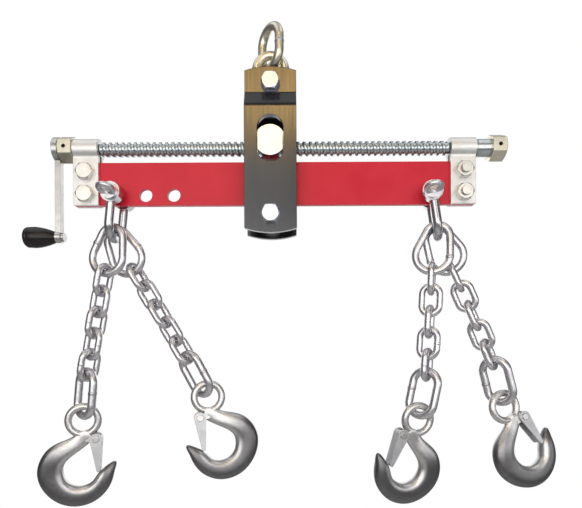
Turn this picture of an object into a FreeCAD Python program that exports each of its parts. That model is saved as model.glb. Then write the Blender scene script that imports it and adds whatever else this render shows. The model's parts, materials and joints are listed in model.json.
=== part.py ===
"""Engine load leveler: a screw-driven beam that hangs from a crane and carries four hooked slings.

Millimetres. The origin is the bearing point inside the top of the upper lift link, where a crane hook
carries it. +Z is up, +X runs along the beam away from the crank, and -Y is the front.
"""
import FreeCAD, Part
import math
import os

from FreeCAD import Placement, Rotation, Vector

SIZES = {
    # lift links
    "lift_wire": 10, "upper_inside_length": 35, "lower_inside_length": 39, "lift_inside_width": 22,
    "lift_gap": 3.6, "upper_link_turn": -51,
    # clearances
    "seat_gap": 0.3, "running_gap": 0.04, "bolt_gap": 0.1, "end_float": 0.3,
    # trolley
    "plate_width": 57, "plate_thickness": 6, "plate_head_margin": 19, "plate_foot_margin": 19,
    "plate_end_radius": 92, "neck_gap": 13, "body_gap": 30, "joggle_drop": 10.2, "joggle_height": 16,
    "joggle_bend": 4, "top_bolt_rise": 67.4, "trolley_bolt": 12, "trolley_hex": 18, "trolley_head": 9, "trolley_nut": 11,
    "slot_width": 28.4, "slot_length": 51, "slot_rise": 4, "nut_boss": 33, "nut_block_height": 28,
    "nut_block_width": 38, "boss_slack": 0.8, "nut_proud": 5, "screw_slack": 0.35, "roller_diameter": 30,
    # beam
    "bar_length": 448, "bar_height": 48, "bar_thickness": 6, "bar_drop": 15.5, "bar_offset": 4,
    "sling_hole": 14.5, "sling_hole_rise": 11.5, "sling_hole_pitch": 31.5, "spare_holes": 2,
    "sling_inset": 20,
    # screw brackets
    "strap_width": 28, "strap_thickness": 4, "strap_bend": 5, "barrel_bore": 15, "bracket_bolt": 10, "bracket_hex": 17,
    "bracket_head": 6.5, "bracket_nut": 8, "bracket_bolt_pitch": 25, "bolt_tail": 3,
    # drive
    "screw_diameter": 16, "journal": 12, "hub_length": 15.5, "drive_length": 16,
    "drive_hex_size": 26, "collar_length": 17, "collar_diameter": 19.6, "collar_groove": 1,
    "roll_pin": 4.4, "roll_pin_bore": 2.4, "pin_sink": 1,
    "crank_length": 98, "arm_thickness": 6, "arm_width": 8, "arm_head": 27, "arm_foot": 13,
    "spindle": 8, "rivet_head": 3, "knob_length": 34, "knob_diameter": 23.6, "knob_neck": 11.5,
    "knob_end_wall": 5, "knob_edge": 3,
    # shackles
    "shackle_rod": 10, "shackle_inside_width": 22, "shackle_reach": 47.5, "shackle_ear": 22,
    "ear_proud": 0.6, "shackle_pin": 12, "pin_collar": 18, "pin_collar_length": 4, "pin_eye": 15,
    "pin_eye_rod": 6,
    # sling links
    "pear_wire": 8.4, "pear_top_radius": 13.5, "pear_low_radius": 18.5, "pear_reach": 53,
    "pear_spread": 5.8, "pear_turn": -12,
    "chain_wire": 7.2, "chain_inside_length": 24.2, "chain_inside_width": 12, "chain_links": 5,
    "end_wire": 9, "end_inside_length": 41, "end_inside_width": 19,
    # hooks
    "eye_wire": 8, "eye_hole": 23, "hook_drop": 55, "hook_throat": 18, "hook_back": 26,
    "hook_saddle": 22.6, "hook_nose": 18.2, "hook_depth": 16, "lug_depth": 8.4, "lug_diameter": 8.6, "hook_turn": 15,
    "latch_rivet": 4.6, "latch_sheet": 1.6, "latch_head": 13, "latch_tip": 4,
}

doc = FreeCAD.newDocument("load_leveler")
sheet = doc.addObject("Spreadsheet::Sheet", "sizes")
for row, (alias, value) in enumerate(SIZES.items(), 1):
    sheet.set(f"A{row}", alias)
    sheet.set(f"B{row}", str(value))
    sheet.setAlias(f"B{row}", alias)
doc.recompute()

NODES = {}


def size(alias):
    """A driving dimension, read back from the sheet."""
    return float(sheet.get(alias))


def bind(thing, **expressions):
    """Ties properties to the sheet; a bare alias is read from it."""
    for prop, text in expressions.items():
        for alias in sorted(SIZES, key=len, reverse=True):
            text = text.replace(f"<{alias}>", f"sizes.{alias}")
        thing.setExpression(prop, text)
    return thing


def node(name, thing, placement=None):
    """Names a finished sub-part."""
    thing.Label = name
    if placement is not None:
        thing.Placement = placement
    NODES[name] = thing
    return thing


def turned_to(axis):
    """The rotation that carries +Z onto an axis."""
    return Rotation(Vector(0, 0, 1), Vector(*axis))


def rod(at, axis, radius, length):
    """A cylinder that starts at a point and runs along an axis."""
    thing = bind(doc.addObject("Part::Cylinder", "rod"), Radius=radius, Height=length)
    thing.Placement = Placement(Vector(*at), turned_to(axis))
    return thing


def box(centre, length, width, height):
    """A box about a centre."""
    thing = bind(doc.addObject("Part::Box", "block"), Length=length, Width=width, Height=height)
    doc.recompute([thing])
    half = Vector(thing.Length.Value / 2, thing.Width.Value / 2, thing.Height.Value / 2)
    thing.Placement = Placement(Vector(*centre) - half, Rotation())
    return thing


def torus(placement, ring, wire):
    """A round ring about its own Z axis."""
    thing = bind(doc.addObject("Part::Torus", "ring"), Radius1=ring, Radius2=wire)
    thing.Placement = placement
    return thing


def hexagon(at, axis, across, length, chamfered=True):
    """A hexagon bar along an axis, its far end chamfered as on a bolt head."""
    bar = bind(doc.addObject("Part::Prism", "hexagon"),
               Circumradius=f"{across} / 2 / cos(30)", Height=length)
    bar.Polygon = 6
    if not chamfered:
        bar.Placement = Placement(Vector(*at), turned_to(axis))
        return bar
    cone = bind(doc.addObject("Part::Cone", "chamfer"), Radius2=f"{across} * 0.475",
                Radius1=f"{across} * 0.475 + ({length}) / tan(30)", Height=length)
    thing = doc.addObject("Part::MultiCommon", "hex_head")
    thing.Shapes = [bar, cone]
    thing.Placement = Placement(Vector(*at), turned_to(axis))
    return thing


def fused(*things):
    """One solid of several pieces."""
    thing = doc.addObject("Part::MultiFuse", "joined")
    thing.Shapes = list(things)
    thing.Refine = True
    return thing


def without(base, *tools):
    """A solid with others cut away."""
    for tool in tools:
        cut = doc.addObject("Part::Cut", "cut")
        cut.Base, cut.Tool = base, tool
        base = cut
    return base


def common(one, other):
    """What two solids share."""
    thing = doc.addObject("Part::MultiCommon", "shared")
    thing.Shapes = [one, other]
    return thing


def group(*things):
    """Separate solids kept in one node."""
    thing = doc.addObject("Part::Compound", "group")
    thing.Links = list(things)
    return thing


def outline(edges):
    """A closed outline as a shape that can be extruded or revolved."""
    thing = doc.addObject("Part::Feature", "outline")
    thing.Shape = Part.Wire(edges)
    return thing


def polygon(points):
    """The straight edges of a closed outline."""
    ring = [Vector(*p) for p in points]
    return [Part.LineSegment(a, b).toShape() for a, b in zip(ring, ring[1:] + ring[:1])]


def extruded(edges, direction, length, centred=False):
    """An outline drawn out along a direction."""
    thing = bind(doc.addObject("Part::Extrusion", "drawn"), LengthFwd=length)
    thing.Base, thing.DirMode, thing.Dir = outline(edges), "Custom", Vector(*direction)
    thing.Solid, thing.Symmetric = True, centred
    return thing


def revolved(edges, axis):
    """An outline turned about an axis through the origin."""
    thing = doc.addObject("Part::Revolution", "turned")
    thing.Source, thing.Axis, thing.Angle, thing.Solid = outline(edges), Vector(*axis), 360, True
    return thing


X, Y, Z = (1, 0, 0), (0, 1, 0), (0, 0, 1)
FRONT, LEFT, DOWN = (0, -1, 0), (-1, 0, 0), (0, 0, -1)

# Heights, worked down from the bearing point.
upper_reach = size("upper_inside_length") + size("lift_wire")
lower_reach = size("lower_inside_length") + size("lift_wire")
upper_crown = size("lift_wire") / 2
lower_link_top = upper_crown - upper_reach + size("lift_wire") + size("lift_gap")
lower_link_foot = lower_link_top - lower_reach
top_bolt_z = lower_link_foot + size("lift_wire") / 2 + size("seat_gap") + size("trolley_bolt") / 2
screw_z = top_bolt_z - size("top_bolt_rise")
bar_top = screw_z - size("bar_drop")
bar_foot = bar_top - size("bar_height")
bar_middle = (bar_top + bar_foot) / 2
roller_z = bar_foot - size("seat_gap") - size("roller_diameter") / 2
plate_top = top_bolt_z + size("plate_head_margin")
plate_foot = roller_z - size("plate_foot_margin")

# Places along the beam.
bar_left = size("bar_offset") - size("bar_length") / 2
bar_right = size("bar_offset") + size("bar_length") / 2
hub_left = bar_left - size("end_float") - size("hub_length")
arm_left = hub_left - size("arm_thickness")
collar_right = bar_right + size("end_float") + size("collar_length")
drive_right = collar_right + size("drive_length")
knob_z = screw_z - size("crank_length")
half_bar = size("bar_thickness") / 2
strap_face = half_bar + size("strap_thickness")
sling_z = bar_foot + size("sling_hole_rise")
pin_z = sling_z - (size("sling_hole") - size("shackle_pin")) / 2 + size("seat_gap")


def ring_wire(top_radius, low_radius, reach):
    """The centre line of a link: two crowns joined by tangent sides, hung from its top crown."""
    lean = math.asin((low_radius - top_radius) / (reach - top_radius - low_radius))
    top, low = Vector(0, 0, -top_radius), Vector(0, 0, low_radius - reach)
    right = Vector(math.cos(lean), 0, math.sin(lean))
    left = Vector(-right.x, 0, right.z)
    upper = Part.Arc(top + right * top_radius, Vector(0, 0, 0), top + left * top_radius)
    lower = Part.Arc(low + left * low_radius, Vector(0, 0, -reach), low + right * low_radius)
    sides = [Part.LineSegment(top + left * top_radius, low + left * low_radius),
             Part.LineSegment(low + right * low_radius, top + right * top_radius)]
    return Part.Wire([upper.toShape(), sides[0].toShape(), lower.toShape(), sides[1].toShape()])


def swept(name, line, wire):
    """Round wire bent along a centre line."""
    spine = doc.addObject("Part::Feature", f"{name}_line")
    spine.Shape = line
    section = bind(doc.addObject("Part::Circle", f"{name}_section"), Radius=f"<{wire}> / 2")
    first = line.OrderedEdges[0]
    start, way = first.valueAt(first.FirstParameter), first.tangentAt(first.FirstParameter)
    section.Placement = Placement(start, Rotation(Vector(0, 0, 1), way))
    sweep = doc.addObject("Part::Sweep", name)
    sweep.Sections, sweep.Solid, sweep.Frenet = [section], True, False
    sweep.Spine = (spine, [f"Edge{n}" for n in range(1, len(line.Edges) + 1)])
    return sweep


def link_form(name, wire, top_radius, low_radius, reach):
    """The form of one kind of link."""
    return swept(name, ring_wire(top_radius, low_radius, reach), wire)


def placed(form, placement):
    """One piece of a form that is made once and set in several places."""
    thing = group(form)
    thing.Placement = placement
    return thing


def plain_link(name, prefix):
    """A link with two like crowns, from its wire and inside sizes."""
    radius = crown_radius(prefix)
    reach = size(f"{prefix}_inside_length") + size(f"{prefix}_wire")
    return link_form(name, f"{prefix}_wire", radius, radius, reach)


def hanging(at, lean, turn):
    """A frame hung from a point: its -Z leans in the beam's plane, and it is turned about itself."""
    return Placement(Vector(*at), Rotation(Vector(0, 1, 0), -lean) * Rotation(Vector(0, 0, 1), turn))


def lift_links():
    radius = crown_radius("lift")
    upper = link_form("upper_link_form", "lift_wire", radius, radius, upper_reach)
    lower = link_form("lower_link_form", "lift_wire", radius, radius, lower_reach)
    node("upper_lift_link", placed(upper, hanging((0, 0, upper_crown), 0, size("upper_link_turn"))))
    node("lower_lift_link", placed(lower, hanging((0, 0, lower_link_top), 0, 0)))


def bent(points, bends):
    """A closed outline of straight runs, with some of its corners bent to a radius."""
    edges, start = [], None
    for n, at in enumerate(points):
        back, on = (points[n - 1] - at).normalize(), (points[(n + 1) % len(points)] - at).normalize()
        first = last = at
        if n in bends:
            half = back.getAngle(on) / 2
            first, last = (at + way * (bends[n] / math.tan(half)) for way in (back, on))
            middle = at + (back + on).normalize() * (bends[n] / math.sin(half) - bends[n])
        if start:
            edges.append(Part.LineSegment(start, first).toShape())
        if n in bends:
            edges.append(Part.Arc(first, middle, last).toShape())
        start = last
    return edges + [Part.LineSegment(start, points[0]).toShape()]


def plate(name, side):
    """A joggled trolley plate: close together at the lift link, wide apart at the screw nut."""
    near, far = size("neck_gap") / 2, size("body_gap") / 2
    thick = size("plate_thickness")
    bend_top = top_bolt_z - size("joggle_drop")
    bend_foot = bend_top - size("joggle_height")
    strip = [(near, plate_top), (near, bend_top), (far, bend_foot), (far, plate_foot),
             (far + thick, plate_foot), (far + thick, bend_foot), (near + thick, bend_top),
             (near + thick, plate_top)]
    inside, outside = size("joggle_bend"), size("joggle_bend") + thick
    bends = {1: outside, 2: inside, 5: outside, 6: inside}
    sheet_metal = extruded(bent([Vector(0, side * y, z) for y, z in strip], bends), X, "<plate_width>", True)
    half = size("plate_width") / 2
    drop = size("plate_end_radius") - math.sqrt(size("plate_end_radius") ** 2 - half ** 2)
    corners = [Vector(x, 0, z) for x, z in ((-half, plate_top - drop), (half, plate_top - drop),
                                            (half, plate_foot + drop), (-half, plate_foot + drop))]
    ends = [Part.Arc(corners[0], Vector(0, 0, plate_top), corners[1]).toShape(),
            Part.LineSegment(corners[1], corners[2]).toShape(),
            Part.Arc(corners[2], Vector(0, 0, plate_foot), corners[3]).toShape(),
            Part.LineSegment(corners[3], corners[0]).toShape()]
    blank = common(sheet_metal, extruded(ends, Y, "<body_gap> * 2 + <plate_thickness> * 2", True))
    through = "<body_gap> + <plate_thickness> * 2"
    reach = -(size("body_gap") / 2 + size("plate_thickness"))
    holes = [rod((0, reach, z), Y, "<trolley_bolt> / 2 + <bolt_gap>", through)
             for z in (top_bolt_z, roller_z)]
    slot_z = screw_z + size("slot_rise")
    run = (size("slot_length") - size("slot_width")) / 2
    round_ends = [rod((0, reach, slot_z + way * run), Y, "<slot_width> / 2", through) for way in (-1, 1)]
    middle = box((0, 0, slot_z), "<slot_width>", through, "<slot_length> - <slot_width>")
    node(name, without(blank, *holes, *round_ends, middle))


def trunnion_nut():
    """The nut that the screw turns in: a block between the plates, with flatted bosses in their slots."""
    at = (0, 0, screw_z)
    block = box(at, "<nut_block_width>", "<body_gap> - <seat_gap> * 2", "<nut_block_height>")
    reach = size("body_gap") / 2 + size("plate_thickness") + size("nut_proud")
    span = "<body_gap> + <plate_thickness> * 2 + <nut_proud> * 2"
    boss = rod((0, -reach, screw_z), Y, "<nut_boss> / 2", span)
    flats = box(at, "<slot_width> - <boss_slack> * 2", span, "<nut_boss>")
    clear = box((0, 0, screw_z - size("nut_boss") / 2), "<nut_boss>", "<body_gap> - <seat_gap> * 2",
                "<nut_boss> - <nut_block_height>")
    bore = rod((-size("nut_block_width"), 0, screw_z), X, "<screw_diameter> / 2 + <screw_slack>",
               "<nut_block_width> * 2")
    node("trunnion_nut", without(fused(block, without(common(boss, flats), clear)), bore))


def bolt(at, axis, thread, across, head, length):
    """A hex bolt: its head stands against the axis at a point, its shank runs along the axis."""
    away = tuple(-a for a in axis)
    return fused(rod(at, axis, f"{thread} / 2", length), hexagon(at, away, across, head))


def hex_nut(at, axis, thread, across, height):
    """A nut that stands out from a point along an axis, with its hole clear of the bolt."""
    start = tuple(p - a for p, a in zip(at, axis))
    return without(hexagon(at, axis, across, height),
                   rod(start, axis, f"{thread} / 2 + <bolt_gap>", f"{height} + 2"))


def trolley_fasteners():
    """The two bolts that hold the plates, and their nuts behind."""
    pieces = []
    for z, gap in ((top_bolt_z, "neck_gap"), (roller_z, "body_gap")):
        face = size(gap) / 2 + size("plate_thickness")
        span = f"<{gap}> + <plate_thickness> * 2 + <trolley_nut> + <bolt_tail>"
        pieces.append(bolt((0, -face, z), Y, "<trolley_bolt>", "<trolley_hex>", "<trolley_head>", span))
        pieces.append(hex_nut((0, face, z), Y, "<trolley_bolt>", "<trolley_hex>", "<trolley_nut>"))
    node("trolley_fasteners", group(*pieces))


def load_roller():
    """The sleeve that rolls on the lower bolt and carries the bar."""
    start = (0, -size("body_gap") / 2 + size("end_float"), roller_z)
    span = "<body_gap> - <end_float> * 2"
    node("load_roller", without(rod(start, Y, "<roller_diameter> / 2", span),
                                rod(start, Y, "<trolley_bolt> / 2 + <running_gap>", span)))


def bracket_x():
    """The middles of the left and right brackets."""
    inset = size("strap_width") / 2
    return bar_left + inset, bar_right - inset


def bracket_bolt_z():
    """The heights of a bracket's two bolts."""
    return [bar_middle + way * size("bracket_bolt_pitch") / 2 for way in (1, -1)]


def sling_x():
    """The places of the left and right shackle holes."""
    inset = size("strap_width") + size("sling_inset")
    return [bar_left + inset, bar_right - inset]


def spare_x():
    """The spare holes beside the left shackle."""
    return [sling_x()[0] + n * size("sling_hole_pitch") for n in range(1, int(size("spare_holes")) + 1)]


def load_bar():
    """The flat bar, with its sling holes and the holes for the bracket bolts."""
    bar = box((size("bar_offset"), 0, bar_middle), "<bar_length>", "<bar_thickness>", "<bar_height>")
    through = "<bar_thickness> + 2"
    start = -half_bar - 1
    holes = [rod((x, start, sling_z), Y, "<sling_hole> / 2", through) for x in sling_x() + spare_x()]
    holes += [rod((x, start, z), Y, "<bracket_bolt> / 2 + <bolt_gap>", through)
              for x in bracket_x() for z in bracket_bolt_z()]
    node("load_bar", without(bar, *holes))


def bracket(name, x):
    """A strap rolled round the screw bush, its two legs bolted over the end of the bar."""
    inner, bend = size("barrel_bore") / 2, size("strap_bend")
    outer = inner + size("strap_thickness")
    low = bar_foot - screw_z
    drop = math.sqrt((outer + bend) ** 2 - (strap_face + bend) ** 2)
    share, lip = outer / (outer + bend), math.sqrt(inner ** 2 - half_bar ** 2)

    def at(y, z):
        return Vector(x, y, screw_z + z)

    sides = []
    for way in (-1, 1):
        centre = at(way * (strap_face + bend), -drop)
        foot, knee = at(way * strap_face, low), at(way * strap_face, -drop)
        meet = at(way * (strap_face + bend) * share, -drop * share)
        between = centre + ((knee - centre).normalize() + (meet - centre).normalize()).normalize() * bend
        sides.append((foot, knee, between, meet))
    (foot_a, knee_a, mid_a, meet_a), (foot_b, knee_b, mid_b, meet_b) = sides
    lips = [at(way * half_bar, -lip) for way in (-1, 1)]
    toes = [at(way * half_bar, low) for way in (-1, 1)]
    strap = extruded([Part.LineSegment(foot_a, knee_a).toShape(),
                      Part.Arc(knee_a, mid_a, meet_a).toShape(),
                      Part.Arc(meet_a, at(0, outer), meet_b).toShape(),
                      Part.Arc(meet_b, mid_b, knee_b).toShape(),
                      Part.LineSegment(knee_b, foot_b).toShape(),
                      Part.LineSegment(foot_b, toes[1]).toShape(),
                      Part.LineSegment(toes[1], lips[1]).toShape(),
                      Part.Arc(lips[1], at(0, inner), lips[0]).toShape(),
                      Part.LineSegment(lips[0], toes[0]).toShape(),
                      Part.LineSegment(toes[0], foot_a).toShape()], X, "<strap_width>", True)
    holes = [rod((x, -strap_face, z), Y, "<bracket_bolt> / 2 + <bolt_gap>",
                 "<bar_thickness> + <strap_thickness> * 2") for z in bracket_bolt_z()]
    node(name, without(strap, *holes))


def screw_bushes():
    """The plain bearings that are pressed into the two brackets."""
    pieces = []
    for x in bracket_x():
        start = (x - size("strap_width") / 2, 0, screw_z)
        pieces.append(without(rod(start, X, "<barrel_bore> / 2", "<strap_width>"),
                              rod(start, X, "<journal> / 2 + <running_gap>", "<strap_width>")))
    node("screw_bushes", group(*pieces))


def bracket_fasteners():
    """The bracket bolts and nuts: heads in front on the left, nuts in front on the right."""
    span = "<bar_thickness> + <strap_thickness> * 2 + <bracket_nut> + <bolt_tail>"
    pieces = []
    for x, way in zip(bracket_x(), (1, -1)):
        axis = (0, way, 0)
        for z in bracket_bolt_z():
            pieces.append(bolt((x, -way * strap_face, z), axis, "<bracket_bolt>", "<bracket_hex>",
                               "<bracket_head>", span))
            pieces.append(hex_nut((x, way * strap_face, z), axis, "<bracket_bolt>", "<bracket_hex>",
                                  "<bracket_nut>"))
    node("bracket_fasteners", group(*pieces))


def pin_x():
    """The middles of the two roll pins, through the hub and the drive hex."""
    return hub_left + size("hub_length") / 2, collar_right + size("drive_length") / 2


def pin_hole(x):
    """The cross hole for a roll pin."""
    return rod((x, -size("drive_hex_size"), screw_z), Y, "<roll_pin> / 2", "<drive_hex_size> * 2")


def lead_screw():
    """The screw: a threaded length between the brackets, with a journal at each end."""
    inside = size("strap_width") + size("end_float")
    thread = rod((bar_left + inside, 0, screw_z), X, "<screw_diameter> / 2",
                 "<bar_length> - <strap_width> * 2 - <end_float> * 2")
    span = ("<bar_length> + <end_float> * 2 + <hub_length> + <arm_thickness>"
            " + <collar_length> + <drive_length>")
    shaft = rod((arm_left, 0, screw_z), X, "<journal> / 2", span)
    node("lead_screw", without(fused(thread, shaft), *[pin_hole(x) for x in pin_x()]))


def sleeve(at, length, body):
    """A piece of the drive with the journal's bore."""
    return without(body, rod(at, X, "<journal> / 2", length))


def drive_pieces():
    """The pinned hubs at the screw's ends, and the collar that takes the thrust on the right."""
    hub_at, drive_at = (hub_left, 0, screw_z), (collar_right, 0, screw_z)
    hub_pin, drive_pin = pin_x()
    hub = hexagon((bar_left - size("end_float"), 0, screw_z), LEFT, "<drive_hex_size>", "<hub_length>")
    node("crank_hub", without(sleeve(hub_at, "<hub_length>", hub), pin_hole(hub_pin)))
    drive = hexagon(drive_at, X, "<drive_hex_size>", "<drive_length>")
    node("drive_hex", without(sleeve(drive_at, "<drive_length>", drive), pin_hole(drive_pin)))
    collar_at = (bar_right + size("end_float"), 0, screw_z)
    groove_at = (collar_at[0] + size("collar_groove"), 0, screw_z)
    groove = without(rod(groove_at, X, "<collar_diameter> / 2", "<collar_groove>"),
                     rod(groove_at, X, "<collar_diameter> / 2 - <collar_groove>", "<collar_groove>"))
    collar = without(rod(collar_at, X, "<collar_diameter> / 2", "<collar_length>"), groove)
    node("thrust_collar", sleeve(collar_at, "<collar_length>", collar))
    pins = []
    for x in (hub_pin, drive_pin):
        start = (x, size("pin_sink") - size("drive_hex_size") / 2, screw_z)
        length = "<drive_hex_size> - <pin_sink> * 2"
        pins.append(without(rod(start, Y, "<roll_pin> / 2", length),
                            rod(start, Y, "<roll_pin_bore> / 2", length)))
    node("roll_pins", group(*pins))


def crank():
    """The crank arm with its knob on a riveted spindle."""
    head = rod((arm_left, 0, screw_z), X, "<arm_head> / 2", "<arm_thickness>")
    foot = rod((arm_left, 0, knob_z), X, "<arm_foot> / 2", "<arm_thickness>")
    blade = box((arm_left + size("arm_thickness") / 2, 0, (screw_z + knob_z) / 2),
                "<arm_thickness>", "<arm_width>", "<crank_length>")
    holes = [rod((arm_left, 0, screw_z), X, "<journal> / 2", "<arm_thickness>"),
             rod((arm_left, 0, knob_z), X, "<spindle> / 2", "<arm_thickness>")]
    node("crank_arm", without(fused(head, foot, blade), *holes))
    depth = size("knob_length") - size("knob_end_wall")
    spindle_left = arm_left - size("end_float") - depth
    shaft = rod((spindle_left + size("end_float"), 0, knob_z), X, "<spindle> / 2",
                "<knob_length> - <knob_end_wall> + <arm_thickness>")
    rivet = rod((arm_left + size("arm_thickness"), 0, knob_z), X, "<arm_foot> / 2 - 1.5", "<rivet_head>")
    node("knob_spindle", fused(shaft, rivet))
    node("crank_knob", crank_knob(depth))


def crank_knob(depth):
    """A moulded knob that swells from a slim neck, with a blind bore for the spindle."""
    long, wide, neck = size("knob_length"), size("knob_diameter") / 2, size("knob_neck") / 2
    edge, swell, brim = size("knob_edge"), long * 0.64, long * 0.86
    points = [Vector(r, 0, z) for r, z in ((0, 0), (neck, 0), (wide, swell), (wide - edge / 8, brim),
                                           (wide - edge, long), (0, long))]
    bulge = [Vector((neck + wide) / 2 + wide / 12, 0, swell / 2), Vector(wide, 0, (swell + brim) / 2),
             Vector(wide - edge / 3, 0, long - edge / 2.2)]
    edges = [Part.LineSegment(points[0], points[1]).toShape(),
             Part.Arc(points[1], bulge[0], points[2]).toShape(),
             Part.Arc(points[2], bulge[1], points[3]).toShape(),
             Part.Arc(points[3], bulge[2], points[4]).toShape(),
             Part.LineSegment(points[4], points[5]).toShape(),
             Part.LineSegment(points[5], points[0]).toShape()]
    body = revolved(edges, Z)
    body = without(body, rod((0, 0, 0), Z, "<spindle> / 2 + <running_gap>",
                             "<knob_length> - <knob_end_wall>"))
    at = Vector(arm_left - size("end_float"), 0, knob_z)
    body.Placement = Placement(at, turned_to(LEFT))
    return body


# The slings: where each shackle hangs, and how its two chains lie.
SHACKLES = {"left": {"lean": -6, "turn": -5}, "right": {"lean": 8, "turn": -11}}
SLINGS = {
    "1": {"shackle": "left", "side": -1, "pear": -13, "chain": (-10, -10), "end": -5, "hook": -3, "flip": 0,
          "drift": 2.8, "ride": 0.28, "slack": 1.4, "nest": 0.24},
    "2": {"shackle": "left", "side": 1, "pear": 28, "chain": (31, 30), "end": 28, "hook": 14, "flip": 180,
          "drift": 3.4, "ride": 0.16, "slack": 1.2, "nest": 0.31},
    "3": {"shackle": "right", "side": -1, "pear": -15, "chain": (-3, -4), "end": -12, "hook": -16, "flip": 180,
          "drift": 3.0, "ride": 0.24, "slack": 2.4, "nest": 0.28},
    "4": {"shackle": "right", "side": 1, "pear": 27, "chain": (24, 21), "end": 14, "hook": 27, "flip": 0,
          "drift": 4.5, "ride": 0.16, "slack": 3, "nest": 0.2},
}
FIRST_TURN, CROSSED = 68, 90


def shackle_frame(name):
    """The frame of a shackle: its pin at the bar's hole, its bow hanging."""
    x = dict(zip(("left", "right"), sling_x()))[name]
    lay = SHACKLES[name]
    return Placement(Vector(x, 0, pin_z),
                     Rotation(Vector(0, 0, 1), lay["turn"]) * Rotation(Vector(0, 1, 0), -lay["lean"]))


def bow_radius():
    """The radius of the bow's centre line."""
    return (size("shackle_inside_width") + size("shackle_rod")) / 2


def shackle(name):
    """A forged bow with two eared legs, and the screw pin through them and the bar."""
    radius, reach = bow_radius(), size("shackle_reach")
    tops = [Vector(0, way * radius, 0) for way in (-1, 1)]
    feet = [Vector(0, way * radius, radius - reach) for way in (-1, 1)]
    bow = swept(f"{name}_bow", Part.Wire([
        Part.LineSegment(tops[0], feet[0]).toShape(),
        Part.Arc(feet[0], Vector(0, 0, -reach), feet[1]).toShape(),
        Part.LineSegment(feet[1], tops[1]).toShape()]), "shackle_rod")
    ear = size("shackle_rod") / 2 + size("ear_proud")
    ears = [rod((0, way * radius - ear, 0), Y, "<shackle_ear> / 2", "<shackle_rod> + <ear_proud> * 2")
            for way in (-1, 1)]
    across = "<shackle_inside_width> + <shackle_rod> * 2 + <ear_proud> * 2"
    face = radius + ear
    hole = rod((0, -face, 0), Y, "<shackle_pin> / 2 + <bolt_gap>", across)
    node(f"{name}_shackle", without(fused(bow, *ears), hole), shackle_frame(name))
    shaft = rod((0, -face, 0), Y, "<shackle_pin> / 2", f"{across} + <bolt_tail>")
    collar = rod((0, -face, 0), FRONT, "<pin_collar> / 2", "<pin_collar_length>")
    eye_y = -face - size("pin_collar_length") - size("pin_eye") / 2 + size("pin_eye_rod") / 2
    eye = torus(Placement(Vector(0, eye_y, 0), Rotation(Vector(1, 0, 0), -18)),
                "<pin_eye> / 2", "<pin_eye_rod> / 2")
    node(f"{name}_shackle_pin", fused(shaft, collar, eye), shackle_frame(name))


def crown_radius(prefix):
    """The radius of a plain link's crown, on its centre line."""
    return (size(f"{prefix}_inside_width") + size(f"{prefix}_wire")) / 2


def down(lean):
    """The way a piece hangs."""
    return Vector(math.sin(math.radians(lean)), 0, -math.cos(math.radians(lean)))


def sling_layout(key):
    """Each piece of a sling: its frame, and the point and axis that it turns about."""
    lay, pieces = SLINGS[key], {}
    frame = shackle_frame(lay["shackle"])
    radius, aside = bow_radius(), lay["side"] * size("pear_spread")
    seat = frame.multVec(Vector(0, aside, radius - size("shackle_reach")
                                - math.sqrt(radius ** 2 - aside ** 2)))
    axis = frame.Rotation.multVec(Vector(0, 1, 0))
    wire = size("shackle_rod")
    links = int(size("chain_links"))
    steps = [("pear_link_" + key, "pear", lay["pear"], size("pear_turn"), size("pear_reach"),
              lay["ride"] * size("pear_wire"))]
    chain_reach = size("chain_inside_length") + size("chain_wire")
    first, last = lay["chain"]
    for n in range(links):
        lean = first + (last - first) * n / links
        turn = FIRST_TURN - (CROSSED + lay["drift"]) * n
        steps.append((f"chain_{key}_link_{n + 1}", "chain", lean, turn, chain_reach, size("seat_gap")))
    end_turn = FIRST_TURN - (CROSSED + lay["drift"]) * links
    steps.append((f"end_link_{key}", "end", lay["end"], end_turn,
                  size("end_inside_length") + size("end_wire"), lay["slack"] * size("seat_gap")))
    for name, kind, lean, turn, reach, gap in steps:
        crown = seat - down(lean) * ((wire + size(f"{kind}_wire")) / 2 + gap)
        placement = hanging(crown, lean, turn)
        pieces[name] = {"kind": kind, "frame": placement, "pivot": seat, "axis": axis}
        seat = placement.multVec(Vector(0, 0, -reach))
        if kind == "pear":
            low, slide = size("pear_low_radius"), math.radians(first - lean)
            seat = placement.multVec(Vector(low * math.sin(slide), 0, low - reach - low * math.cos(slide)))
        axis = placement.Rotation.multVec(Vector(1, 0, 0))
        wire = size(f"{kind}_wire")
    ring = (size("eye_hole") + size("eye_wire")) / 2
    overlap = (wire + size("eye_wire")) / 2 + lay["nest"] * size("eye_wire")
    centre = seat + down(lean) * (ring - overlap)
    placement = hanging(centre, lay["hook"], lay["flip"] + size("hook_turn"))
    pieces[f"hook_{key}"] = {"kind": "hook", "frame": placement, "pivot": centre,
                             "axis": placement.Rotation.multVec(Vector(0, 1, 0))}
    across, low = latch_pivot()
    pieces[f"latch_{key}"] = {"kind": "latch", "frame": placement,
                              "pivot": placement.multVec(Vector(across, 0, -low)),
                              "axis": placement.Rotation.multVec(Vector(0, 1, 0))}
    return pieces


def latch_pivot():
    """The latch rivet's place on the hook, across and below the eye's centre."""
    ring = (size("eye_hole") + size("eye_wire")) / 2
    return size("latch_head") / 2 + size("eye_wire"), ring + size("eye_wire") * 0.625


def latch_end():
    """The middle of the latch's tip, which closes on the inside of the nose."""
    return size("hook_throat") * 1.04, size("hook_drop") * 0.996


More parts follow.
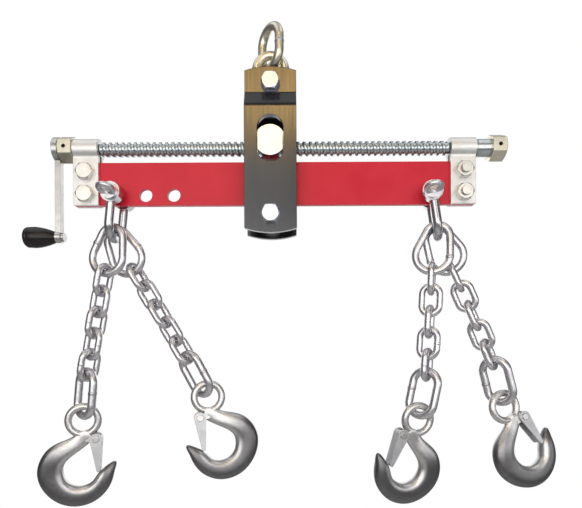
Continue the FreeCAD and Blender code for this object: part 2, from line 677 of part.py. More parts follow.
def hook_sections():
    """Places of the hook's sections, from the neck round the bowl to the point.

    Each is (across, below, width, depth), in the hook's plane, from the eye's centre.
    """
    throat, drop = size("hook_throat"), size("hook_drop")
    back, saddle, nose, deep = (size(n) for n in ("hook_back", "hook_saddle", "hook_nose", "hook_depth"))
    ring = (size("eye_hole") + size("eye_wire")) / 2
    thin = size("lug_depth")
    sections = [(ring * 0.5, ring * 0.95, back * 0.5, thin * 0.96),
                (-ring * 0.1, ring * 1.42, back * 0.66, thin),
                (-throat * 0.68, ring * 1.92, back * 0.72, (thin + deep) * 0.46)]
    for angle in (148, 180, 215, 250, 285, 318):
        if angle <= 180:
            width = back * (1 - 0.1 * (180 - angle) / 32)
        elif angle <= 270:
            width = back + (saddle - back) * (angle - 180) / 90
        else:
            width = saddle + (nose - saddle) * (angle - 270) / 60
        radius = throat + width / 2
        turn = math.radians(angle)
        sections.append((radius * math.cos(turn), drop - radius * math.sin(turn), width, deep))
    sections += [(throat * 1.53, drop + throat * 0.27, nose * 0.85, deep * 0.9),
                 (throat * 1.74, drop - throat * 0.08, nose * 0.56, deep * 0.7),
                 (throat * 1.93, drop - throat * 0.36, nose * 0.3, deep * 0.4),
                 (throat * 2.0, drop - throat * 0.46, nose * 0.14, deep * 0.2)]
    return sections


def rounded_section(centre, along, width, depth):
    """A plump rounded section across the hook's bar."""
    side = Vector(0, 1, 0).cross(along)
    points = []
    for n in range(16):
        turn = 2 * math.pi * n / 16
        spread = [math.copysign(abs(v) ** 0.8, v) for v in (math.cos(turn), math.sin(turn))]
        points.append(centre + side * (width / 2 * spread[0]) + Vector(0, 1, 0) * (depth / 2 * spread[1]))
    curve = Part.BSplineCurve()
    curve.interpolate(points, PeriodicFlag=True)
    return Part.Wire([curve.toShape()])


def hook_form():
    """The forged hook: a bar lofted round the bowl, an eye ring, and a lug for the latch."""
    sections = hook_sections()
    centres = [Vector(across, 0, -below) for across, below, width, depth in sections]
    wires = []
    for n, (across, below, width, depth) in enumerate(sections):
        ahead, behind = centres[min(n + 1, len(centres) - 1)], centres[max(n - 1, 0)]
        wires.append(rounded_section(centres[n], (ahead - behind).normalize(), width, depth))
    bar = doc.addObject("Part::Feature", "hook_bar")
    bar.Shape = Part.makeLoft(wires, True, False)
    eye = torus(Placement(Vector(), Rotation(Vector(1, 0, 0), 90)),
                "(<eye_hole> + <eye_wire>) / 2", "<eye_wire> / 2")
    across, low = latch_pivot()
    half = size("lug_depth") / 2
    lug = rod((across, -half, -low), Y, "<lug_diameter> / 2", "<lug_depth>")
    root = box((across * 0.62, 0, -low), f"{across * 0.76}", "<lug_depth>", "<lug_diameter> * 0.8")
    hole = rod((across, -half, -low), Y, "<latch_rivet> / 2", "<lug_depth>")
    mouth = rod((0, -size("hook_depth"), 0), Y, "<eye_hole> / 2", "<hook_depth> * 2")
    return without(fused(without(bar, mouth), eye, lug, root), hole)


def latch_width():
    """Half the latch's width over its two cheeks."""
    return size("lug_depth") / 2 + size("seat_gap") + size("latch_sheet")


def rivet_form():
    """The latch rivet, with a low head on each cheek."""
    across, low = latch_pivot()
    half = latch_width() + size("running_gap")
    shaft = rod((across, -half, -low), Y, "<latch_rivet> / 2", f"{half * 2}")
    heads = [rod((across, way * half, -low), (0, way, 0), "<latch_rivet> * 0.8", "<latch_sheet> * 0.7")
             for way in (-1, 1)]
    return fused(shaft, *heads)


def latch_form():
    """A latch folded from sheet: two tapered cheeks and a web along the mouth side."""
    across, low = latch_pivot()
    tip_across, tip_low = latch_end()
    head, tip = size("latch_head") / 2, size("latch_tip") / 2
    pivot, end = Vector(across, 0, -low), Vector(tip_across, 0, -tip_low)
    way = end - pivot
    length = way.Length
    lean = math.asin((head - tip) / length)
    along = way.normalize()
    aside = Vector(-along.z, 0, along.x)
    if aside.x < 0:
        aside = aside * -1
    rims = [aside * math.cos(lean) + along * math.sin(lean),
            aside * -math.cos(lean) + along * math.sin(lean)]
    sides = [(pivot + rim * head, end + rim * tip) for rim in rims]
    half = latch_width()
    shift = Vector(0, half, 0)
    edges = [Part.Arc(sides[1][0], pivot - along * head, sides[0][0]),
             Part.LineSegment(*sides[0]),
             Part.Arc(sides[0][1], end + along * tip, sides[1][1]),
             Part.LineSegment(sides[1][1], sides[1][0])]
    blank = extruded([e.toShape() for e in edges], Y, f"{half * 2}", True)
    inner = size("latch_sheet")
    start, finish = (p - rims[0] * inner for p in sides[0])
    run = (finish - start).normalize() * head * 2
    far = aside * -head * 3
    pocket = [start - run, finish + run, finish + run + far, start - run + far]
    cavity = extruded(polygon([tuple(p) for p in pocket]), Y, f"{(half - inner) * 2}", True)
    hole = rod((across, -half - 1, -low), Y, "<latch_rivet> / 2 + <running_gap>", f"{half * 2 + 2}")
    return without(blank, cavity, hole)


def slings():
    """The four chains with their hooks, each piece a separate node."""
    forms = {"pear": link_form("pear_form", "pear_wire", size("pear_top_radius"),
                               size("pear_low_radius"), size("pear_reach")),
             "chain": plain_link("chain_form", "chain"), "end": plain_link("end_form", "end"),
             "latch": latch_form()}
    hook, rivet = hook_form(), rivet_form()
    for key in SLINGS:
        for name, piece in sling_layout(key).items():
            if piece["kind"] == "hook":
                node(name, group(hook, rivet), piece["frame"])
            else:
                node(name, placed(forms[piece["kind"]], piece["frame"]))


def build():
    lift_links()
    plate("trolley_front_plate", -1)
    plate("trolley_rear_plate", 1)
    trunnion_nut()
    trolley_fasteners()
    load_roller()
    load_bar()
    for name, x in zip(("left_screw_bracket", "right_screw_bracket"), bracket_x()):
        bracket(name, x)
    screw_bushes()
    bracket_fasteners()
    lead_screw()
    drive_pieces()
    crank()
    for name in SHACKLES:
        shackle(name)
    slings()
    doc.recompute()


def export():
    """Writes every sub-part, once each feature and shape has been found sound."""
    for thing in doc.Objects:
        if "Invalid" in thing.State or "Error" in thing.State:
            raise RuntimeError(f"{thing.Name} ({thing.Label}) did not compute")
    for name, thing in NODES.items():
        if thing.Shape.isNull() or not thing.Shape.isValid() or not thing.Shape.Solids:
            raise RuntimeError(f"{name} is not a sound solid")
    os.makedirs("parts", exist_ok=True)
    for name, thing in NODES.items():
        thing.Shape.exportStep(f"parts/{name}.step")


build()
export()
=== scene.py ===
"""Looks for the engine load leveler: camera, light, finishes, and the detail that the solids leave out."""
import json
import math

import bmesh
import bpy
from mathutils import Matrix, Vector
from mathutils.bvhtree import BVHTree


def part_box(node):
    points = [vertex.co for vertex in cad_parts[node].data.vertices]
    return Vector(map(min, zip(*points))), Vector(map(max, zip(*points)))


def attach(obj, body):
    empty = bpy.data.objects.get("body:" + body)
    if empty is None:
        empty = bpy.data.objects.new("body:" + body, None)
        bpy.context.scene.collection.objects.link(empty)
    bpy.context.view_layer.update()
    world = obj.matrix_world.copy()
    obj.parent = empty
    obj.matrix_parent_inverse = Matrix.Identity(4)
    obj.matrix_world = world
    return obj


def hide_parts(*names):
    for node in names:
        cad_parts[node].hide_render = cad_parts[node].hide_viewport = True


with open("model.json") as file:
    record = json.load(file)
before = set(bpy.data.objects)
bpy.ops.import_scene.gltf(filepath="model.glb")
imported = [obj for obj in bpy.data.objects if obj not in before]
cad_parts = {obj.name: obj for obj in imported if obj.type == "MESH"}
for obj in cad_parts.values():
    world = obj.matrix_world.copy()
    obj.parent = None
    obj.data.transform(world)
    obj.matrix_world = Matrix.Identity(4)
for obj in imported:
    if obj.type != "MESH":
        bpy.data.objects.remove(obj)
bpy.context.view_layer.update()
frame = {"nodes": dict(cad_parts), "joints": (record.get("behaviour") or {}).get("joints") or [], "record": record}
nodes = frame["nodes"]
record = frame["record"]
node_body = {node: body for body, names in record["behaviour"]["bodies"].items() for node in names}
scene = bpy.context.scene

FULL_TURN = 2 * math.pi
SLINGS = (1, 2, 3, 4)
LINKS_PER_CHAIN = 5


# Materials. Every one is built from nodes, in the object's own coordinates, which are metres.

RELIEF_DEPTH = 0.0003
CLOUD_SCALE = 70
PLATE_GRAIN = 160
PLATE_RELIEF = 0.012
SATIN = (0.28, 0.38)
BRIGHT = (0.24, 0.34)
MATT = (0.44, 0.54)


def new_material(name):
    """A node material, its tree, its shader and the object's coordinates."""
    mat = bpy.data.materials.new(name)
    mat.use_nodes = True
    tree = mat.node_tree
    shader = tree.nodes["Principled BSDF"]
    coords = tree.nodes.new("ShaderNodeTexCoord")
    return mat, tree, shader, coords.outputs["Object"]


def noise(tree, coords, scale, detail=4.0, stretch=None):
    """A noise value over the object's coordinates."""
    tex = tree.nodes.new("ShaderNodeTexNoise")
    tex.inputs["Scale"].default_value = scale
    tex.inputs["Detail"].default_value = detail
    if stretch:
        mapping = tree.nodes.new("ShaderNodeMapping")
        mapping.inputs["Scale"].default_value = stretch
        tree.links.new(coords, mapping.inputs["Vector"])
        coords = mapping.outputs["Vector"]
    tree.links.new(coords, tex.inputs["Vector"])
    return tex.outputs["Fac"]


def ramp(tree, fac, stops):
    """A colour ramp over a value."""
    node = tree.nodes.new("ShaderNodeValToRGB")
    elements = node.color_ramp.elements
    while len(elements) < len(stops):
        elements.new(0.5)
    for element, (place, colour) in zip(elements, stops):
        element.position = place
        element.color = (*colour, 1)
    tree.links.new(fac, node.inputs["Fac"])
    return node.outputs["Color"]


def mottle(tree, fac, dark, light):
    """Two colours mixed by a noise value."""
    return ramp(tree, fac, [(0.3, dark), (0.7, light)])


def map_range(tree, fac, from_span, to_span, smooth=False):
    """A value carried from one span to another."""
    node = tree.nodes.new("ShaderNodeMapRange")
    if smooth:
        node.interpolation_type = "SMOOTHSTEP"
    node.inputs["From Min"].default_value, node.inputs["From Max"].default_value = from_span
    node.inputs["To Min"].default_value, node.inputs["To Max"].default_value = to_span
    tree.links.new(fac, node.inputs["Value"])
    return node.outputs["Result"]


def spread(tree, fac, low, high):
    """A noise value spread over a range."""
    return map_range(tree, fac, (0.3, 0.7), (low, high))


def nearness(tree, coords, centre, near, far):
    """A value that falls from 1 to 0 between two distances from a place."""
    span = tree.nodes.new("ShaderNodeVectorMath")
    span.operation = "DISTANCE"
    span.inputs[1].default_value = centre
    tree.links.new(coords, span.inputs[0])
    return map_range(tree, span.outputs["Value"], (near, far), (1.0, 0.0), smooth=True)


def combine(tree, operation, first, second):
    """Two values joined by one operation."""
    node = tree.nodes.new("ShaderNodeMath")
    node.operation = operation
    for socket, value in zip(node.inputs, (first, second)):
        if isinstance(value, float):
            socket.default_value = value
        else:
            tree.links.new(value, socket)
    return node.outputs[0]


def bump(tree, shader, height, strength, distance, edge):
    """Relief from a height value, over edges that are eased by a small radius if there is one."""
    node = tree.nodes.new("ShaderNodeBump")
    node.inputs["Strength"].default_value = strength
    node.inputs["Distance"].default_value = distance
    tree.links.new(height, node.inputs["Height"])
    if edge:
        eased = tree.nodes.new("ShaderNodeBevel")
        eased.samples = 6
        eased.inputs["Radius"].default_value = edge
        tree.links.new(eased.outputs["Normal"], node.inputs["Normal"])
    tree.links.new(node.outputs["Normal"], shader.inputs["Normal"])


def zinc(name, dark, light, rough, grain=PLATE_GRAIN, relief=PLATE_RELIEF, edge=0.0005):
    """Zinc plate: uneven in tone and gloss, over the grain of what it covers."""
    mat, tree, shader, coords = new_material(name)
    shader.inputs["Metallic"].default_value = 1.0
    cloud = noise(tree, coords, CLOUD_SCALE)
    tree.links.new(mottle(tree, cloud, dark, light), shader.inputs["Base Color"])
    fine = noise(tree, coords, grain)
    tree.links.new(spread(tree, fine, *rough), shader.inputs["Roughness"])
    bump(tree, shader, fine, relief, RELIEF_DEPTH, edge)
    return mat


def forging_with_painted_light(name, eye, throat):
    """Zinc over a forged hook, with painted light: a painted highlight on the eye and round the throat, and
    painted shade on the back of the bowl.
    """
    mat, tree, shader, coords = new_material(name)
    shader.inputs["Metallic"].default_value = 1.0
    # Painted highlight near the eye and round the throat; the colours below paint shade over the rest of the bowl.
    near_eye = nearness(tree, coords, eye, 0.022, 0.062)
    near_throat = combine(tree, "MULTIPLY", nearness(tree, coords, throat, 0.0225, 0.0275), 0.85)
    bright = combine(tree, "MAXIMUM", near_eye, near_throat)
    cloud = combine(tree, "MULTIPLY", noise(tree, coords, 90), 0.24)
    tone = combine(tree, "ADD", bright, combine(tree, "SUBTRACT", cloud, 0.12))
    colour = ramp(tree, tone, [(0.0, (0.19, 0.186, 0.19)), (0.35, (0.35, 0.345, 0.348)),
                               (1.0, (0.68, 0.67, 0.665))])
    tree.links.new(colour, shader.inputs["Base Color"])
    fine = noise(tree, coords, 330)
    tree.links.new(spread(tree, fine, 0.32, 0.42), shader.inputs["Roughness"])
    bump(tree, shader, fine, 0.035, RELIEF_DEPTH, 0.0012)
    return mat


def red_paint(name):
    """Gloss red with a faint orange peel and a thin bloom."""
    mat, tree, shader, coords = new_material(name)
    cloud = noise(tree, coords, 24)
    colour = mottle(tree, cloud, (0.66, 0.014, 0.036), (0.72, 0.022, 0.046))
    tree.links.new(colour, shader.inputs["Base Color"])
    tree.links.new(spread(tree, cloud, 0.30, 0.42), shader.inputs["Roughness"])
    shader.inputs["Specular IOR Level"].default_value = 0.3
    bump(tree, shader, noise(tree, coords, 420, 2.0), 0.05, RELIEF_DEPTH, 0.0006)
    return mat


def black_gloss(name):
    """Gloss black over drawn steel: faint streaks along the strip show in the gloss."""
    mat, tree, shader, coords = new_material(name)
    cloud = noise(tree, coords, 40)
    colour = mottle(tree, cloud, (0.006, 0.006, 0.007), (0.011, 0.010, 0.011))
    tree.links.new(colour, shader.inputs["Base Color"])
    streak = noise(tree, coords, 1.0, 3.0, stretch=(330, 330, 14))
    tree.links.new(spread(tree, streak, 0.13, 0.24), shader.inputs["Roughness"])
    shader.inputs["Specular IOR Level"].default_value = 1.0
    bump(tree, shader, streak, 0.05, 0.0004, 0.0009)
    return mat


def plastic(name):
    """Black moulded plastic, with faint flow marks along it."""
    mat, tree, shader, coords = new_material(name)
    cloud = noise(tree, coords, 60)
    colour = mottle(tree, cloud, (0.010, 0.008, 0.009), (0.018, 0.014, 0.016))
    tree.links.new(colour, shader.inputs["Base Color"])
    flow = noise(tree, coords, 1.0, 3.0, stretch=(420, 40, 40))
    tree.links.new(spread(tree, flow, 0.2, 0.34), shader.inputs["Roughness"])
    shader.inputs["Specular IOR Level"].default_value = 0.3
    bump(tree, shader, flow, 0.08, 0.0002, 0.0006)
    return mat


CHAIN = zinc("chain_zinc", (0.64, 0.63, 0.655), (0.74, 0.73, 0.745), SATIN)
# Cream tint on the lift links, crank hub and drive hex: painted warm reflection of the light from above the front.
ZINC_PAINTED_WARM = zinc("zinc_painted_warm_reflection", (0.66, 0.62, 0.50), (0.76, 0.72, 0.60), SATIN, edge=0.0008)
SHEET = zinc("sheet_zinc", (0.76, 0.75, 0.73), (0.84, 0.835, 0.82), MATT)
LATCH = zinc("latch_zinc", (0.60, 0.60, 0.62), (0.70, 0.70, 0.71), MATT, edge=0.0004)
BOSS = zinc("boss_zinc", (0.70, 0.74, 0.86), (0.78, 0.82, 0.94), BRIGHT)
NUT = zinc("nut_zinc", (0.70, 0.75, 0.86), (0.78, 0.83, 0.94), BRIGHT)
BOLT = zinc("bolt_zinc", (0.64, 0.625, 0.58), (0.74, 0.725, 0.68), (0.26, 0.36))
# Darker zinc on the crank arm and knob spindle: painted shade, standing for the arm's shaded side over the whole
# of it.
ARM_ZINC_PAINTED_SHADE = zinc("arm_zinc_painted_shade", (0.46, 0.455, 0.44), (0.56, 0.555, 0.54), SATIN)
THREAD = zinc("thread_zinc", (0.44, 0.49, 0.51), (0.56, 0.60, 0.61), BRIGHT, 200, 0.01, 0.0)
SHACKLE = zinc("shackle_zinc", (0.54, 0.535, 0.55), (0.64, 0.635, 0.65), (0.18, 0.26), relief=0.01)
# Near-black on the roll pins: painted shade standing for the dark hollow of each pin's bore.
PIN_BORE_SHADE = zinc("painted_bore_shade", (0.035, 0.034, 0.033), (0.07, 0.068, 0.066), (0.4, 0.55), 300, 0.02, 0.0)
WELD = zinc("weld_zinc", (0.46, 0.45, 0.46), (0.58, 0.57, 0.58), (0.32, 0.46), 500, 0.05, 0.0)
RED = red_paint("red_paint")
BLACK = black_gloss("black_paint")
KNOB = plastic("black_plastic")

BY_SLOT = {"bright_zinc": CHAIN, "red_paint": RED, "black_paint": BLACK, "black_plastic": KNOB}
BY_NODE = {
    "upper_lift_link": ZINC_PAINTED_WARM, "lower_lift_link": ZINC_PAINTED_WARM, "crank_hub": ZINC_PAINTED_WARM, "drive_hex": ZINC_PAINTED_WARM,
    "crank_arm": ARM_ZINC_PAINTED_SHADE, "knob_spindle": ARM_ZINC_PAINTED_SHADE, "roll_pins": PIN_BORE_SHADE,
    "left_screw_bracket": SHEET, "right_screw_bracket": SHEET, "bracket_fasteners": BOLT,
    "trolley_fasteners": BOSS, "trunnion_nut": NUT,
    "screw_bushes": THREAD, "thrust_collar": THREAD, "load_roller": THREAD,
    "left_shackle": SHACKLE, "right_shackle": SHACKLE,
}

# A hook's painted highlight and painted shade are set out from its eye and its throat. The throat's centre is on
# the way to the seat.
EYE_TO_THROAT, EYE_TO_SEAT = 0.055, 0.073
seats = {mount["name"]: Vector(mount["pos_m"]) for mount in record["mounts"]}
pivots = {joint["name"]: Vector(joint["pos_m"]) for joint in frame["joints"] if joint["type"] == "hinge"}
for sling in SLINGS:
    hook_eye = pivots[f"hook_{sling}_swing"]
    hook_throat = hook_eye.lerp(seats[f"hook_throat_{sling}"], EYE_TO_THROAT / EYE_TO_SEAT)
    BY_NODE[f"hook_{sling}"] = forging_with_painted_light(f"forged_zinc_painted_light_{sling}", hook_eye, hook_throat)
    BY_NODE[f"latch_{sling}"] = LATCH

for entry in record["subparts"]:
    materials = nodes[entry["node"]].data.materials
    materials.clear()
    materials.append(BY_NODE.get(entry["node"]) or BY_SLOT[entry["material_slot"]])


# Pieces. Each is a tube of rings, wound in code, that rides on the body of the solid it dresses.

def piece(name, mesh, body, mat):
    """A new visible piece that rides on a body."""
    obj = bpy.data.objects.new(name, mesh)
    scene.collection.objects.link(obj)
    mesh.materials.append(mat)
    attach(obj, body)
    return obj


def tube_mesh(name, verts, around, capped=False):
    """A smooth mesh through rings of points that follow each other, open or capped at its ends."""
    last = len(verts) // around - 1
    faces = []
    for ring in range(last):
        for k in range(around):
            a, b = ring * around + k, ring * around + (k + 1) % around
            faces.append((a, b, b + around, a + around))
    if capped:
        faces.append(tuple(range(around)))
        faces.append(tuple(reversed(range(last * around, (last + 1) * around))))
    mesh = bpy.data.meshes.new(name)
    mesh.from_pydata(verts, [], faces)
    bm = bmesh.new()
    bm.from_mesh(mesh)
    bmesh.ops.recalc_face_normals(bm, faces=bm.faces)
    bm.to_mesh(mesh)
    bm.free()
    mesh.shade_smooth()
    return mesh


# The lead screw, with its thread: a rounded crest wound along the length between the brackets.

SCREW_LEAD = 0.007
THREAD_DEPTH = 0.0019
JOURNAL_RADIUS = 0.006
BRACKET_GAP = 0.0003
RUN_OUT = 0.004
FLANK_START, FLANK_SPAN = 0.34, 0.30
SCREW_AROUND, SCREW_RINGS_PER_TURN = 48, 14


def screw_mesh():
    """The whole screw: plain journals, and the thread between them, which runs out at each end."""
    low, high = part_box("lead_screw")
    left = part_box("left_screw_bracket")[1].x + BRACKET_GAP
    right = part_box("right_screw_bracket")[0].x - BRACKET_GAP
    axis_z = (low.z + high.z) / 2
    crest = (high.z - low.z) / 2
    root = crest - THREAD_DEPTH
    count = int((right - left) / SCREW_LEAD * SCREW_RINGS_PER_TURN)
    rings = [(low.x, False), (left, False)]
    rings += [(left + (right - left) * n / count, True) for n in range(count + 1)]
    rings += [(right, False), (high.x, False)]
    verts = []
    for x, threaded in rings:
        for k in range(SCREW_AROUND):
            turn = FULL_TURN * k / SCREW_AROUND
            radius = JOURNAL_RADIUS
            if threaded:
                phase = (x / SCREW_LEAD - turn / FULL_TURN) % 1.0
                lift = min(1.0, max(0.0, (abs(phase - 0.5) * 2 - FLANK_START) / FLANK_SPAN))
                lift = lift * lift * (3 - 2 * lift)
                fade = min(1.0, (x - left) / RUN_OUT, (right - x) / RUN_OUT)
                radius = root + (crest - root) * lift * max(fade, 0.0)
            verts.append((x, radius * math.cos(turn), axis_z + radius * math.sin(turn)))
    return tube_mesh("lead_screw_thread", verts, SCREW_AROUND, capped=True)


thread = piece("lead_screw_thread", screw_mesh(), "screw", THREAD)
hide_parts("lead_screw")


# Butt welds: a low bead round one leg of each link, where its wire was closed.

FIT_ROUNDS = 12
LEG_SPAN = 0.002
RAY_START = 0.2
RAY_STEP = 0.0005
BEAD_LENGTH = 0.0036
BEAD_STEPS = 8
BEAD_AROUND = 28
BEAD_SUNK = 0.015
SMALL_BEAD, LARGE_BEAD = 0.00018, 0.0003
LARGE_BEAD_TILT = 0.0006


def axes(node):
    """A link's middle, its long direction (up), its wide direction (to the right) and its surface."""
    mesh = nodes[node].data
    points = [v.co for v in mesh.vertices]
    low = [min(p[i] for p in points) for i in range(3)]
    high = [max(p[i] for p in points) for i in range(3)]
    middle = Vector([(a + b) / 2 for a, b in zip(low, high)])
    long = max((p - middle for p in points), key=lambda v: v.length).normalized()
    for _ in range(FIT_ROUNDS):
        total = Vector((0, 0, 0))
        for p in points:
            d = p - middle
            total += long * (d.dot(long) ** 2) + d * d.dot(long)
        long = total.normalized()
    flat = [(p - middle) - long * (p - middle).dot(long) for p in points]
    wide = max(flat, key=lambda v: v.length).normalized()
    for _ in range(FIT_ROUNDS):
        total = Vector((0, 0, 0))
        for d in flat:
            total += d * d.dot(wide)
        wide = (total - long * total.dot(long)).normalized()
    long, wide = long * (1 if long.z > 0 else -1), wide * (1 if wide.x > 0 else -1)
    return middle, long, wide, BVHTree.FromPolygons(points, [tuple(f.vertices) for f in mesh.polygons])


def leg_at(node, side, along):
    """The middle of a link's leg at a place along it, its direction, and the wire's radius."""
    middle, long, wide, surface = axes(node)
    found = []
    for step in (along - LEG_SPAN, along + LEG_SPAN):
        start = middle + long * step + wide * side * RAY_START
        outer = surface.ray_cast(start, -wide * side)[0]
        inner = surface.ray_cast(outer - wide * side * RAY_STEP, -wide * side)[0]
        found.append(((outer + inner) / 2, (outer - inner).length / 2))
    (a, radius_a), (b, radius_b) = found
    return (a + b) / 2, (b - a).normalized(), (radius_a + radius_b) / 2


def bead_mesh(name, centre, way, rings, tilt):
    """A bead round a leg: each ring gives its place along the leg and its radius."""
    side = way.orthogonal().normalized()
    up = way.cross(side)
    verts = []
    for along, radius in rings:
        for k in range(BEAD_AROUND):
            turn = FULL_TURN * k / BEAD_AROUND
            rough = 1 + 0.010 * math.sin(3 * turn + 900 * along) + 0.006 * math.sin(7 * turn)
            spot = side * math.cos(turn) + up * math.sin(turn)
            verts.append(centre + spot * radius * rough + way * (along + tilt * math.cos(turn)))
    return tube_mesh(name, verts, BEAD_AROUND)


def weld(node, side, along, proud, tilt, mat):
    """A weld bead on a link, swelling from the wire and sinking back into it."""
    centre, way, radius = leg_at(node, side, along)
    rings = []
    for n in range(BEAD_STEPS + 1):
        t = n / BEAD_STEPS
        swell = math.sin(math.pi * t) ** 0.7 if 0 < t < 1 else 0.0
        rings.append(((t - 0.5) * BEAD_LENGTH,
                      radius * (1 - BEAD_SUNK) + (proud + radius * BEAD_SUNK) * swell))
    mesh = bead_mesh(f"{node}_weld", centre, way, rings, tilt)
    piece(f"{node}_weld", mesh, node_body[node], mat)


for sling in SLINGS:
    for link in range(1, LINKS_PER_CHAIN + 1):
        weld(f"chain_{sling}_link_{link}", 1 if (sling + link) % 2 else -1, 0.0, SMALL_BEAD, 0.0, CHAIN)

# Each larger link: the side its weld is on, and the weld's place above the link's middle.
LARGE_WELDS = {
    "pear_link_1": (-1, 0.006), "pear_link_2": (1, -0.004),
    "pear_link_3": (1, -0.005), "pear_link_4": (-1, -0.004),
    "end_link_1": (1, 0.002), "end_link_2": (1, -0.002),
    "end_link_3": (-1, 0.003), "end_link_4": (-1, -0.002),
    "upper_lift_link": (1, 0.0), "lower_lift_link": (-1, 0.0),
}
for node, (side, along) in LARGE_WELDS.items():
    weld(node, side, along, LARGE_BEAD, LARGE_BEAD_TILT, WELD)


# Threads on the bolts' tails, behind their nuts.

LONGEST_NUT = 0.0125
TAIL_LENGTH = 0.0029
TAIL_AROUND, TAIL_RINGS_PER_TURN = 24, 8
TAIL_ROOT = 0.985
TAIL_RIDGE = 0.00042
TAIL_FADE_IN, TAIL_FADE_OUT = 0.0004, 0.0006


def islands(node):
    """The boxes of a node's separate solids."""
    bm = bmesh.new()
    bm.from_mesh(nodes[node].data)
    bmesh.ops.remove_doubles(bm, verts=bm.verts, dist=1e-6)
    seen, found = set(), []
    for start in bm.verts:
        if start in seen:
            continue
        seen.add(start)
        stack, group = [start], []
        while stack:
            v = stack.pop()
            group.append(v.co.copy())
            for e in v.link_edges:
                w = e.other_vert(v)
                if w not in seen:
                    seen.add(w)
                    stack.append(w)
        found.append((Vector([min(p[i] for p in group) for i in range(3)]),
                      Vector([max(p[i] for p in group) for i in range(3)])))
    bm.free()
    return found


def tail_mesh(name, x, z, end, way, radius, pitch):
    """A helical ridge on the last part of a bolt that ends at a place along y."""
    rings = int(TAIL_LENGTH / pitch * TAIL_RINGS_PER_TURN)
    verts = []
    for ring in range(rings + 1):
        along = TAIL_LENGTH * ring / rings
        fade = min(1.0, (TAIL_LENGTH - along) / TAIL_FADE_OUT, along / TAIL_FADE_IN)
        for k in range(TAIL_AROUND):
            turn = FULL_TURN * k / TAIL_AROUND
            phase = (along / pitch - turn / FULL_TURN) % 1.0
            lift = 1 - abs(phase - 0.5) * 2
            reach = radius * TAIL_ROOT + TAIL_RIDGE * lift * max(0.0, fade)
            verts.append((x + reach * math.cos(turn), end - way * (TAIL_LENGTH - along),
                          z + reach * math.sin(turn)))
    return tube_mesh(name, verts, TAIL_AROUND)


def tail_threads(node, body, diameter, pitch):
    """A thread on the end of each bolt of a node, at the side where its nut is."""
    boxes = islands(node)
    nuts = [box for box in boxes if box[1].y - box[0].y < LONGEST_NUT]
    bolts = [box for box in boxes if box[1].y - box[0].y >= LONGEST_NUT]
    for count, (low, high) in enumerate(bolts):
        middle = (low + high) / 2
        nut = min(((a + b) / 2 for a, b in nuts), key=lambda c: (c - middle).xz.length)
        way = 1 if nut.y > middle.y else -1
        name = f"{node}_thread_{count}"
        mesh = tail_mesh(name, middle.x, middle.z, high.y if way > 0 else low.y, way, diameter / 2, pitch)
        piece(name, mesh, body, BOLT)


tail_threads("bracket_fasteners", "bar", 0.010, 0.0012)
tail_threads("trolley_fasteners", "trolley", 0.012, 0.0014)


# Stage: a pale floor well below the hanging part, a white backdrop, and soft light.

FLOOR_Z, FLOOR_SIZE = -1.5, 9
BACKDROP_PLACE, BACKDROP_SIZE = (0.02, 1.55, 0.05), (2.72, 2.4)
WORLD_COLOUR, WORLD_STRENGTH = (0.5, 0.5, 0.53, 1), 0.28
UPRIGHT = Matrix.Rotation(math.radians(90), 3, "X")


def studio_white(name):
    """White to the eye and to reflections, plain diffuse to the light."""
    mat = bpy.data.materials.new(name)
    mat.use_nodes = True
    tree = mat.node_tree
    tree.nodes.clear()
    out = tree.nodes.new("ShaderNodeOutputMaterial")
    mix = tree.nodes.new("ShaderNodeMixShader")
    path = tree.nodes.new("ShaderNodeLightPath")
    glow = tree.nodes.new("ShaderNodeEmission")
    matte = tree.nodes.new("ShaderNodeBsdfDiffuse")
    matte.inputs["Color"].default_value = (0.86, 0.86, 0.86, 1)
    glow.inputs["Color"].default_value = (1, 1, 1, 1)
    glow.inputs["Strength"].default_value = 1.0
    also = combine(tree, "MAXIMUM", path.outputs["Is Glossy Ray"], path.outputs["Is Transmission Ray"])
    seen = combine(tree, "MAXIMUM", path.outputs["Is Camera Ray"], also)
    tree.links.new(seen, mix.inputs["Fac"])
    tree.links.new(matte.outputs[0], mix.inputs[1])
    tree.links.new(glow.outputs[0], mix.inputs[2])
    tree.links.new(mix.outputs[0], out.inputs["Surface"])
    return mat


def pale_floor(name):
    """Pale and matt, faintly uneven."""
    mat, tree, shader, coords = new_material(name)
    colour = mottle(tree, noise(tree, coords, 6), (0.80, 0.80, 0.79), (0.84, 0.84, 0.83))
    tree.links.new(colour, shader.inputs["Base Color"])
    shader.inputs["Roughness"].default_value = 0.9
    return mat


def plane(name, centre, size, turn, mat):
    """A flat stage piece."""
    mesh = bpy.data.meshes.new(name)
    w, h = size[0] / 2, size[1] / 2
    mesh.from_pydata([(-w, -h, 0), (w, -h, 0), (w, h, 0), (-w, h, 0)], [], [(0, 1, 2, 3)])
    mesh.materials.append(mat)
    obj = bpy.data.objects.new(name, mesh)
    scene.collection.objects.link(obj)
    obj.matrix_world = Matrix.Translation(centre) @ turn.to_4x4()


plane("backdrop", BACKDROP_PLACE, BACKDROP_SIZE, UPRIGHT, studio_white("studio_white"))
plane("floor", (0, 0, FLOOR_Z), (FLOOR_SIZE, FLOOR_SIZE), Matrix.Identity(3), pale_floor("pale_floor"))

scene.view_settings.view_transform = "Standard"
world = bpy.data.worlds.new("studio")
scene.world = world
world.use_nodes = True
background = world.node_tree.nodes["Background"]
background.inputs["Color"].default_value = WORLD_COLOUR
background.inputs["Strength"].default_value = WORLD_STRENGTH

screw_low, screw_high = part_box("lead_screw")
SCREW_Z = (screw_low.z + screw_high.z) / 2


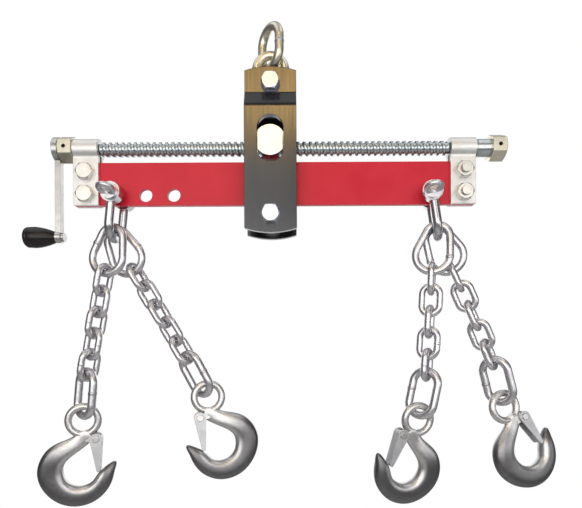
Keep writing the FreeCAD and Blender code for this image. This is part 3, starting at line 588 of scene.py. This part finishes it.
def lamp(name, width, height, glow, place, turn):
    """A rectangular lamp of an even glow, which the camera doesn't see."""
    light = bpy.data.lights.new(name, "AREA")
    light.shape = "RECTANGLE"
    light.size, light.size_y = width, height
    level = max(glow)
    light.color = [g / level for g in glow]
    light.energy = level * math.pi * light.size * light.size_y
    obj = bpy.data.objects.new(name, light)
    scene.collection.objects.link(obj)
    obj.matrix_world = Matrix.Translation(place) @ turn.to_4x4()
    obj.visible_camera = False


def softbox(name, x, y, z, glow, aim=None):
    """A lamp across a span of x and a span of z above the screw, facing along y or at a place."""
    place = Vector(((x[0] + x[1]) / 2, y, SCREW_Z + (z[0] + z[1]) / 2))
    way = Vector(aim) - place if aim else Vector((0, -1 if y > 0 else 1, 0))
    turn = way.to_track_quat("-Z", "Y").to_matrix()
    lamp(name, x[1] - x[0], z[1] - z[0], glow, place, turn)


def overhead(name, x, y, z, level):
    """A lamp across a span of x and a span of y that faces down from a height above the screw."""
    place = Vector(((x[0] + x[1]) / 2, (y[0] + y[1]) / 2, SCREW_Z + z))
    lamp(name, x[1] - x[0], y[1] - y[0], (level, level, level), place, Matrix.Identity(3))


softbox("front", (-1.3, 1.3), -1.6, (-0.5, 0.25), (2.4, 2.38, 2.35))
softbox("left", (-1.5, -0.25), -1.62, (0.27, 0.72), (1.75, 1.68, 1.56))
softbox("middle", (-0.24, 0.10), -1.62, (0.27, 0.70), (1.0, 1.0, 1.02))
softbox("right", (0.66, 1.4), -1.62, (0.27, 0.72), (1.85, 1.77, 1.64))
softbox("warm", (-0.32, 0.18), -1.6, (0.72, 1.12), (5.6, 3.6, 1.3))
softbox("back", (-1.1, 1.1), 1.5, (-0.45, 0.75), (0.55, 0.55, 0.55))
softbox("side", (1.3, 2.3), -1.0, (-0.55, 0.1), (1.5, 1.5, 1.5), (0.2, 0.0, SCREW_Z - 0.25))
overhead("over_left", (-1.4, -0.32), (-1.3, 0.5), 1.3, 1.05)
overhead("over_middle", (-0.3, 0.3), (-0.6, 0.5), 1.3, 0.35)
overhead("over_right", (0.32, 1.4), (-1.3, 0.5), 1.3, 1.05)


# Camera: in front of the beam and below it, framed as the photograph is.

CAMERA_PLACE = (0.0225, -0.52, SCREW_Z - 0.215)
CAMERA_ROLL = math.radians(-0.28)

camera_data = bpy.data.cameras.new("camera")
camera_data.sensor_fit = "HORIZONTAL"
camera_data.sensor_width = 36.0
camera_data.lens = 28.55
camera_data.shift_x = -0.0017
camera_data.shift_y = 0.148
camera_data.clip_start = 0.05
camera = bpy.data.objects.new("camera", camera_data)
scene.collection.objects.link(camera)
camera.matrix_world = (Matrix.Translation(CAMERA_PLACE) @ UPRIGHT.to_4x4()
                       @ Matrix.Rotation(CAMERA_ROLL, 4, "Z"))
scene.camera = camera
